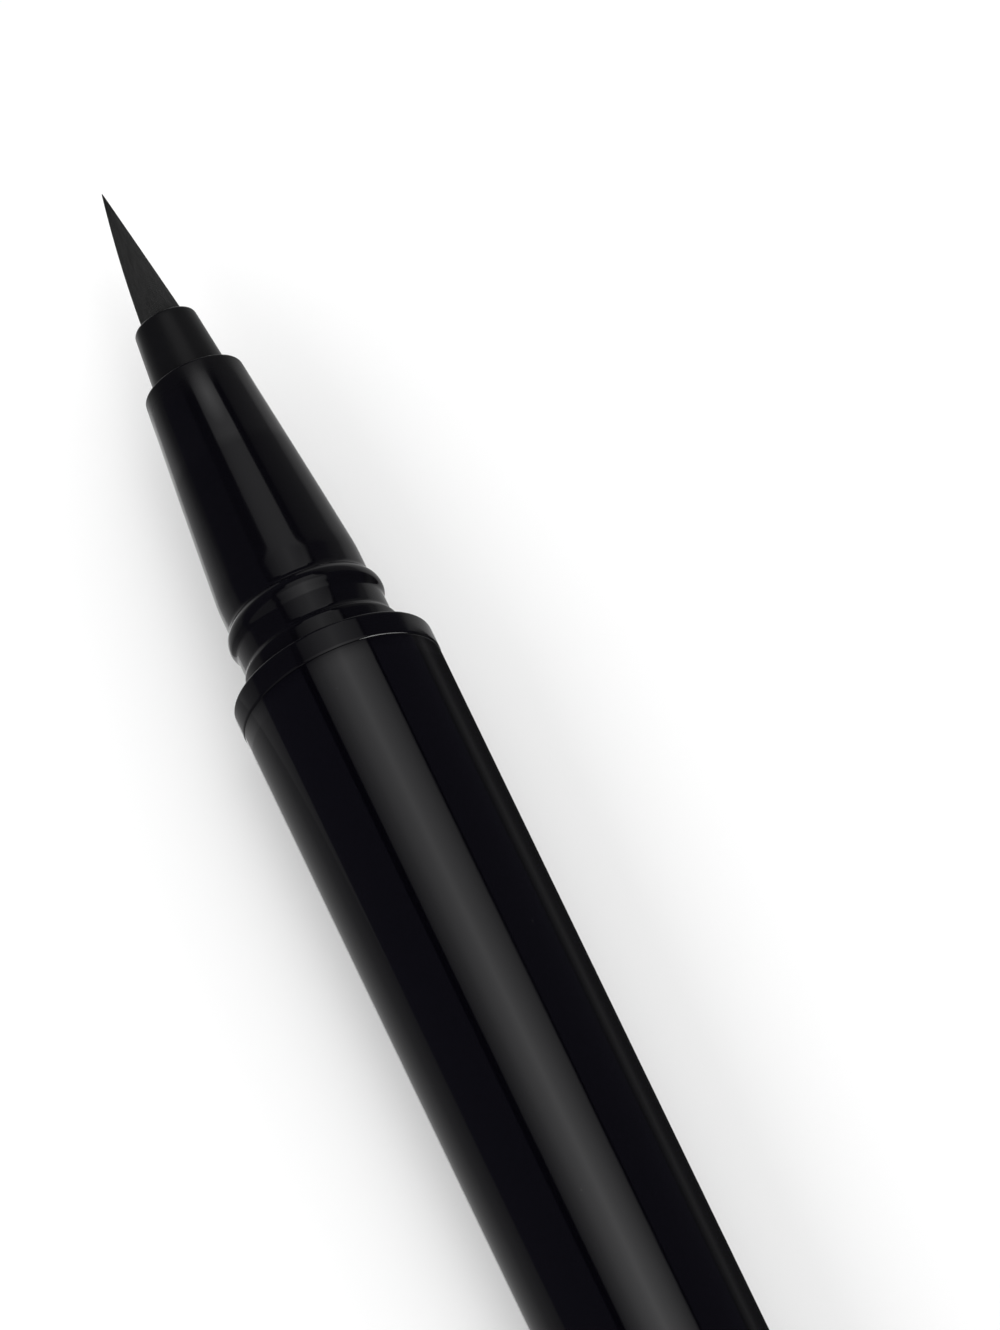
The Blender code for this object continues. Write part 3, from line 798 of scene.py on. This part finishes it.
def domed(end, radius, height, count=8):
    """Corners across a closed end, from near its edge to near the axis, that bulges by the height.

    The height is negative for an end that looks backwards.
    """
    shares = [1 - step / count for step in range(1, count)]
    return [(end - height * share ** 2, radius * share, 0) for share in shares]


def dress(piece, node, body):
    """Lets a fine piece stand for its plain solid, on the same body."""
    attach(piece, body)
    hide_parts(node)
    print(f"{piece.name}: {len(piece.data.polygons)} faces for {node}")

# %% [markdown]
# ## The barrel and its ends
# The barrel is one long tube that gets a hair narrower towards the tail. A separate cap closes its
# rear end, and a short ring stands in front of it, on which the pen's cap seats. The thin gaps
# between them and their rounded edges make the fine seam lines that the picture shows. Cylinders
# with a Bevel modifier would round all edges alike. A turned outline gives each edge its own radius.

# %% Barrel
BARREL_FRONT_EDGE, SEAM_EDGE = 0.02 * MM, 0.05 * MM
INNER_EDGE = 0.03 * MM
BAND_LENGTH = 1.0 * MM

rear, front = ends("barrel")
front_radius, bore = outer_radius("barrel"), bore_radius("barrel", front)
rear_radius = radii("barrel", rear + SEAM_EDGE)[-1]
band_rear = front - BAND_LENGTH
band_radius = front_radius + (rear_radius - front_radius) * (front - band_rear) / (front - rear)
barrel = spun("barrel_shell", [
    (band_rear, band_radius, 0),
    *bowed((band_rear, band_radius), (rear, rear_radius), 0, count=40),
    (rear, rear_radius, SEAM_EDGE), (rear, bore, INNER_EDGE), (band_rear, bore, 0),
], gloss_black)
dress(barrel, "barrel", "pen_body")

# %% The barrel's front band
band = spun("barrel_front_band", [
    (front, front_radius, BARREL_FRONT_EDGE), (band_rear, band_radius, 0), (band_rear, bore, 0),
    (front, bore, INNER_EDGE),
], band_black)
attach(band, "pen_body")
print(f"{band.name}: {len(band.data.polygons)} faces, {BAND_LENGTH / MM:.1f} mm long")

# %% Tail cap
TAIL_EDGE = 0.35 * MM
GATE_RADIUS, GATE_DEPTH = 0.9 * MM, 0.04 * MM
GATE_ROOM = 1.2
DOME = 0.10 * MM
PRESS_GAP = 0.05 * MM

rear, front = ends("tail_cap")
spigot_radius = radii("tail_cap", front)[-1]
recess_radius = radii("tail_cap", front)[0]
seat = ends("barrel")[0] - PRESS_GAP
rim_radius = outer_radius("tail_cap")
recess_floor = 1.4 * MM
tail = spun("tail_cap_shell", [
    (recess_floor, 0, 0), (recess_floor, recess_radius, 0.3 * MM),
    (front, recess_radius, INNER_EDGE), (front, spigot_radius, 0.15 * MM),
    (seat, spigot_radius, 0), (seat, rim_radius, SEAM_EDGE),
    (rear + DOME, rim_radius, TAIL_EDGE),
    *[corner for corner in domed(rear, rim_radius, -DOME) if corner[1] > GATE_ROOM * GATE_RADIUS],
    (rear, GATE_RADIUS, INNER_EDGE), (rear + GATE_DEPTH, GATE_RADIUS - GATE_DEPTH, INNER_EDGE),
    (rear + GATE_DEPTH, 0, 0),
], gloss_black, closed=False)
dress(tail, "tail_cap", "pen_body")

# %% Shoulder ring
RING_FRONT_EDGE, RING_REAR_EDGE = 0.16 * MM, 0.15 * MM
SEAM_GAP = 0.004 * MM
rear, front = ends("barrel")[1] + SEAM_GAP, ends("shoulder_ring")[1]
ring_radius, ring_bore = outer_radius("shoulder_ring"), bore_radius("shoulder_ring", front)
ring = spun("shoulder_ring_shell", [
    (front, ring_radius, RING_FRONT_EDGE), (rear, ring_radius, RING_REAR_EDGE),
    (rear, ring_bore, INNER_EDGE), (front, ring_bore, INNER_EDGE),
], front_black)
dress(ring, "shoulder_ring", "pen_body")

# %% [markdown]
# ## Neck, bead and nose
# In front of the ring the pen steps down to a collar and a neck. A rounded bead on the neck snaps
# into the cap. The long nose cone follows. The bead's front flank runs out onto the nose in one
# soft S, and the thin gap between the two pieces cuts it half way. Soft flanks and edges matter
# here: they bend the long reflected stripe out of sight, which is how we see that there are steps.

# %% Soft steps, and the bead's front flank, which neck and nose share
def soft_step(rear, front, rear_pull, front_pull, count=20):
    """Points of an S-shaped step. The pulls say how far each end stays nearly level."""
    (x0, r0), (x3, r3) = rear, front
    x1, x2 = x0 + rear_pull, x3 - front_pull
    points = []
    for step in range(count + 1):
        u = step / count
        x = x0 * (1 - u) ** 3 + 3 * x1 * u * (1 - u) ** 2 + 3 * x2 * u ** 2 * (1 - u) + x3 * u ** 3
        points.append((x, r0 + (r3 - r0) * (3 * u ** 2 - 2 * u ** 3), 0))
    return points


CREST_BACK, FLANK_RUNOUT = 0.18 * MM, 0.37 * MM
CREST_PULL, FOOT_PULL = 0.62 * MM, 0.50 * MM
NOSE_GAP = 0.02 * MM

neck_rear, barrel_front, collar_front, neck_front = places("neck_section")[:4]
bead_front = ends("neck_section")[1]
bead_peak = max(places("neck_section")[4:], key=lambda place: radii("neck_section", place)[-1])
bead_radius = radii("neck_section", bead_peak)[-1]
nose_rear, _, taper_rear = places("nose_cone")[:3]
nose_front = ends("nose_cone")[1]
nose_base = radii("nose_cone", taper_rear)[-1]
flank = soft_step((bead_peak - CREST_BACK, bead_radius), (bead_front + FLANK_RUNOUT, nose_base),
                  CREST_PULL, FOOT_PULL)


def flank_radius(place):
    """The flank's radius at one place, read between its points."""
    for (x0, r0, _), (x1, r1, _) in zip(flank, flank[1:]):
        if place <= x1:
            return r0 + (r1 - r0) * (place - x0) / (x1 - x0)
    return nose_base


print(f"bead {2 * bead_radius / MM:.2f} mm across at {bead_peak / MM:.2f} mm")

# %% Neck section
COLLAR_BACK, COLLAR_RUNOUT, COLLAR_PULL = 0.33 * MM, 0.27 * MM, 0.36 * MM
BACK_PULL = 0.3 * MM
FLANK_EDGE, EDGE_ROOM = 0.03 * MM, 0.07 * MM

spigot_radius = radii("neck_section", neck_rear)[-1]
neck_bore = radii("neck_section", neck_rear)[0]
neck_radius = radii("neck_section", collar_front)[0]
collar_radius = radii("neck_section", collar_front)[-1]
bead_back = soft_step((neck_front, neck_radius), (bead_peak - CREST_BACK, bead_radius),
                      BACK_PULL, BACK_PULL)
collar_step = soft_step((collar_front - COLLAR_BACK, collar_radius),
                        (collar_front + COLLAR_RUNOUT, neck_radius), COLLAR_PULL, COLLAR_PULL)
neck = spun("neck_section_shell", [
    (bead_front, flank_radius(bead_front), FLANK_EDGE),
    *[corner for corner in reversed(flank) if corner[0] < bead_front - EDGE_ROOM],
    *reversed(bead_back[:-1]), *reversed(collar_step),
    (barrel_front, collar_radius, 0), (barrel_front, spigot_radius, 0.05 * MM),
    (neck_rear, spigot_radius, 0.1 * MM), (neck_rear, neck_bore, INNER_EDGE),
    (bead_front, neck_bore, INNER_EDGE),
], front_black)
dress(neck, "neck_section", "pen_body")

# %% Nose cone
NOSE_EDGE = 0.16 * MM
NOSE_BULGE = 0.02 * MM
NOSE_BEND = 12 * MM
CHAMFER = 0.12 * MM

tip_radius = radii("nose_cone", nose_front - CHAMFER)[-1]
sleeve_bore = radii("nose_cone", nose_front)[0]
spigot_radius = radii("nose_cone", nose_rear)[-1]
rear_bore = radii("nose_cone", nose_rear)[0]
step_place = 104.5 * MM
nose = spun("nose_cone_shell", [
    (nose_front, tip_radius, NOSE_EDGE),
    *bowed((nose_front, tip_radius), (taper_rear, nose_base), NOSE_BULGE, count=12),
    (taper_rear, nose_base, NOSE_BEND),
    *[corner for corner in reversed(flank) if corner[0] > bead_front + NOSE_GAP + EDGE_ROOM],
    (bead_front + NOSE_GAP, flank_radius(bead_front + NOSE_GAP), FLANK_EDGE),
    (bead_front + NOSE_GAP, spigot_radius, 0.02 * MM),
    (nose_rear, spigot_radius, 0.1 * MM), (nose_rear, rear_bore, INNER_EDGE),
    (step_place, rear_bore, 0), (step_place, sleeve_bore, 0), (nose_front, sleeve_bore, INNER_EDGE),
], nose_black)
dress(nose, "nose_cone", "pen_body")

# %% Tip sleeve
SLEEVE_EDGE = 0.22 * MM
rear, front = ends("tip_sleeve")
mouth_radius = radii("tip_sleeve", front - 0.2 * MM)[-1]
brush_bore = radii("tip_sleeve", front)[0]
sleeve_seat = ends("nose_cone")[1] + PRESS_GAP
sleeve_radius = radii("tip_sleeve", sleeve_seat)[-1]
tail_radius, flange_bore = radii("tip_sleeve", rear)[-1], radii("tip_sleeve", rear)[0]
flange_bore_front = 108.9 * MM
sleeve = spun("tip_sleeve_shell", [
    (front, mouth_radius, SLEEVE_EDGE),
    *bowed((front, mouth_radius), (sleeve_seat, sleeve_radius), 0, count=8),
    (sleeve_seat, sleeve_radius, 0.05 * MM), (sleeve_seat, tail_radius, 0.02 * MM),
    (rear, tail_radius, 0.08 * MM), (rear, flange_bore, INNER_EDGE),
    (flange_bore_front, flange_bore, 0), (flange_bore_front, brush_bore, 0),
    (front, brush_bore, 0.05 * MM),
], satin_black, steps=FINE_STEPS)
dress(sleeve, "tip_sleeve", "pen_body")

# %% [markdown]
# ## The brush
# The tip is a bundle of fine tapered nylon bristles, melted together at the root and held in the
# sleeve. Wet with ink, they close up to one smooth point. A cone with a bumpy surface would look
# nearly right from afar, but real bristles give the right edge and the right dull sheen up close.
# Each one keeps its own share of the bundle's radius all the way, so that no two cross. The outer
# ones stand side by side in a ring, the inner ones fill the bundle in a sunflower pattern, and the
# ends are staggered a little near the point.

# %% Tubes through rings of points
TUBE_SHARP = math.radians(80)


def tubes(name, strands, material):
    """One mesh of closed tubes. Each strand is a list of rings, and each ring a list of points."""
    work = bmesh.new()
    for rings in strands:
        verts = [[work.verts.new(point) for point in ring] for ring in rings]
        join_rings(work, verts)
        work.faces.new(verts[0])
        work.faces.new(verts[-1])
    return to_piece(work, name, material, TUBE_SHARP)


# %% Places of the bristles in the bundle
INNER_COUNT, RING_COUNT = 560, 100
ROOT_RADIUS, POINT_RADIUS, BUNDLE_BULGE = 1.19 * MM, 0.02 * MM, 0.06 * MM
BRISTLE_RADIUS = 0.038 * MM
HELD_LENGTH = 1.0 * MM
STAGGER, STAGGER_LEAST = 1.6 * MM, 0.3
INNER_REACH = 0.94
SWAY = 0.055 * MM
GOLDEN_ANGLE = math.pi * (3 - math.sqrt(5))

sleeve_front = ends("tip_sleeve")[1]
brush_point = ends("brush_tip")[1]


def shown_part(place):
    """How far a place is from the sleeve's mouth, as a share of the way to the brush's point."""
    return min(max((place - sleeve_front) / (brush_point - sleeve_front), 0), 1)


def bundle_radius(place):
    """Outer radius of the bundle at a place along the pen."""
    part = shown_part(place)
    return ROOT_RADIUS + (POINT_RADIUS - ROOT_RADIUS) * part + BUNDLE_BULGE * 4 * part * (1 - part)


def bundle_sway(place):
    """How far the whole bundle has bowed sideways at a place along the pen."""
    part = shown_part(place)
    return SWAY * 4 * part * (1 - part)


def bristle_spots():
    """Each bristle's share of the bundle's radius and its angle about the axis."""
    ring = [(1.0, 2 * math.pi * index / RING_COUNT) for index in range(RING_COUNT)]
    sunflower = [(INNER_REACH * math.sqrt((index + 0.5) / INNER_COUNT), index * GOLDEN_ANGLE)
                 for index in range(INNER_COUNT)]
    return ring + sunflower


# %% Bristles
BRISTLE_SIDES, BRISTLE_RINGS = 5, 12
TIP_TAPER, TIP_SHARE = 6, 0.15
SEED = 11


def bristle(share, turn, end):
    """The rings of one bristle, from inside the sleeve to its own end."""
    start = sleeve_front - HELD_LENGTH
    reach = bundle_radius(start) - BRISTLE_RADIUS
    rings = []
    for step in range(BRISTLE_RINGS):
        part = step / (BRISTLE_RINGS - 1)
        place = start + (end - start) * part
        size = bundle_radius(place) / bundle_radius(start)
        thick = BRISTLE_RADIUS * size * min(1, TIP_TAPER * (1 - part) + TIP_SHARE)
        away = share * reach * size
        y, z = away * math.cos(turn) + bundle_sway(place), away * math.sin(turn)
        angles = [turn + 2 * math.pi * side / BRISTLE_SIDES for side in range(BRISTLE_SIDES)]
        rings.append([(place, y + thick * math.cos(a), z + thick * math.sin(a)) for a in angles])
    return rings


luck = random.Random(SEED)
strands = []
for share, turn in bristle_spots():
    end = brush_point - STAGGER * luck.random() ** 2 * (STAGGER_LEAST + (1 - STAGGER_LEAST) * share)
    strands.append(bristle(share, turn, end))
bristles = tubes("brush_bristles", strands, bristle_black)
dress(bristles, "brush_tip", "pen_body")
print(f"{INNER_COUNT + RING_COUNT} bristles, {(brush_point - sleeve_front) / MM:.2f} mm showing")

# %% Brush root
ROOT_STEPS = 64
root_rear = ends("brush_tip")[0]
root_front = sleeve_front - HELD_LENGTH + 0.05 * MM
flange_front = flange_bore_front - 0.1 * MM
flange_radius = radii("brush_tip", root_rear)[-1]
root_radius = 1.15 * MM
root = spun("brush_root", [
    (root_front, 0, 0), (root_front, root_radius, 0.03 * MM), (flange_front, root_radius, 0),
    (flange_front, flange_radius, 0.05 * MM), (root_rear, flange_radius, 0.05 * MM),
    (root_rear, 0, 0),
], bristle_black, closed=False, steps=ROOT_STEPS)
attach(root, "pen_body")
print(f"{root.name}: {len(root.data.polygons)} faces, {2 * root_radius / MM:.2f} mm across")

# %% [markdown]
# ## The cap
# The cap is a plain tube with a flat closed end and a small edge radius. Inside its mouth sits a
# liner with the rib that snaps over the bead. Deeper in, a sprung cup closes over the nose to keep
# the brush wet. We look into the mouth from the tail's side, so liner and cup get fine meshes too.

# %% Cap shell
rim, top = ends("cap_shell")
top_edge = 0.25 * MM
top_radius = radii("cap_shell", top - top_edge)[-1]
rim_radius, liner_seat_bore = outer_radius("cap_shell"), bore_radius("cap_shell", rim)
inner_end, boss_end = top - 1.2 * MM, top - 2.4 * MM
chamber_start, chamber_bore = rim + 14.1 * MM, 4.5 * MM
boss_radius = 2.0 * MM
cap = spun("cap_tube", [
    (top, 0, 0), *reversed(domed(top, top_radius, DOME)), (top - DOME, top_radius, top_edge),
    *bowed((top - DOME, top_radius), (rim, rim_radius), 0, count=24),
    (rim, rim_radius, 0.14 * MM), (rim, liner_seat_bore, 0.05 * MM),
    (chamber_start, liner_seat_bore, 0), (chamber_start, chamber_bore, 0),
    (inner_end, chamber_bore, 0.2 * MM), (inner_end, boss_radius, 0.05 * MM),
    (boss_end, boss_radius, 0.2 * MM), (boss_end, 0, 0),
], gloss_black, closed=False)
dress(cap, "cap_shell", "cap")

# %% Cap liner
LEAD_IN = 0.25 * MM
rear, front = ends("cap_liner")
liner_outer = outer_radius("cap_liner")
liner_bore = radii("cap_liner", rear + LEAD_IN)[0]
rib_place = rim + 2.2 * MM
rib_bore = radii("cap_liner", rib_place)[0]
ledge_bore = radii("cap_liner", front)[0]
rib_half, ledge_depth = 0.45 * MM, 0.8 * MM
liner = spun("cap_liner_tube", [
    (front, liner_outer, 0.05 * MM), (rear, liner_outer, 0.05 * MM),
    (rear, liner_bore + LEAD_IN, 0.04 * MM), (rear + LEAD_IN, liner_bore, 0.1 * MM),
    (rib_place - rib_half, liner_bore, 0.15 * MM),
    (rib_place, rib_bore, 0.3 * MM), (rib_place + rib_half, liner_bore, 0.15 * MM),
    (front - ledge_depth, liner_bore, 0.1 * MM), (front - ledge_depth, ledge_bore, 0.08 * MM),
    (front, ledge_bore, 0.05 * MM),
], satin_black, steps=FINE_STEPS)
dress(liner, "cap_liner", "cap")

# %% Seal cup
cup_rim, cup_boss_end = ends("seal_cup")
cup_end = cup_boss_end - 1.2 * MM
flange_end, bore_end = cup_rim + 0.95 * MM, cup_end - 0.8 * MM
cup_radius, cup_bore = 3.9 * MM, radii("seal_cup", cup_rim)[0]
flange_radius = outer_radius("seal_cup")
cup = spun("seal_cup_moulding", [
    (cup_boss_end, 0, 0), (cup_boss_end, boss_radius, 0.25 * MM), (cup_end, boss_radius, 0.1 * MM),
    (cup_end, cup_radius, 0.4 * MM), (flange_end, cup_radius, 0.1 * MM),
    (flange_end, flange_radius, 0.1 * MM), (cup_rim, flange_radius, 0.1 * MM),
    (cup_rim, cup_bore, 0.12 * MM), (bore_end, cup_bore, 0.5 * MM), (bore_end, 0, 0),
], white_plastic, closed=False, steps=FINE_STEPS)
dress(cup, "seal_cup", "seal")

# %% [markdown]
# ## The spring
# A coil of steel wire presses the cup on the nose. A curve with a round section would give the same
# coil. Here it is a mesh from the start, and it takes the place of its plain solid.

# %% Seal spring
COIL_POINTS, WIRE_SIDES = 24, 12
TURNS = 6.5
wire_radius = 0.25 * MM
spring_rear, spring_front = ends("seal_spring")
coil_radius = outer_radius("seal_spring") - wire_radius
climb = (spring_front - spring_rear - 2 * wire_radius) / (2 * math.pi * TURNS)


def wire_ring(turn):
    """The ring of points round the wire where the coil has turned so far."""
    outward = Vector((0, math.cos(turn), math.sin(turn)))
    onward = Vector((climb, -coil_radius * math.sin(turn), coil_radius * math.cos(turn))).normalized()
    across = outward.cross(onward)
    centre = outward * coil_radius + Vector((spring_rear + wire_radius + climb * turn, 0, 0))
    angles = [2 * math.pi * side / WIRE_SIDES for side in range(WIRE_SIDES)]
    return [centre + wire_radius * (outward * math.cos(a) + across * math.sin(a)) for a in angles]


count = round(TURNS * COIL_POINTS)
coil = [wire_ring(2 * math.pi * index / COIL_POINTS) for index in range(count + 1)]
spring = tubes("seal_spring_wire", [coil], steel)
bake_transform(spring)
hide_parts("seal_spring")
print(f"spring of {TURNS} turns between {spring_rear / MM:.1f} and {spring_front / MM:.1f} mm")

# %% [markdown]
# ## The works inside
# The tank, its plug, gasket, ball, the collector and the relay core can't be seen from outside, and
# their plain solids already have the right shape. They keep it, and get a proper finish.

# %% Finishes of the inner pieces
INNER_FINISHES = {
    "ink_tank": milky_plastic, "tank_plug": white_plastic, "tank_gasket": rubber,
    "collector": white_plastic, "relay_core": fibre_white, "mixing_ball": steel,
}
for node, finish in INNER_FINISHES.items():
    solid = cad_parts[node]
    solid.data.materials.clear()
    solid.data.materials.append(finish)
    print(f"{node}: {finish.name}")
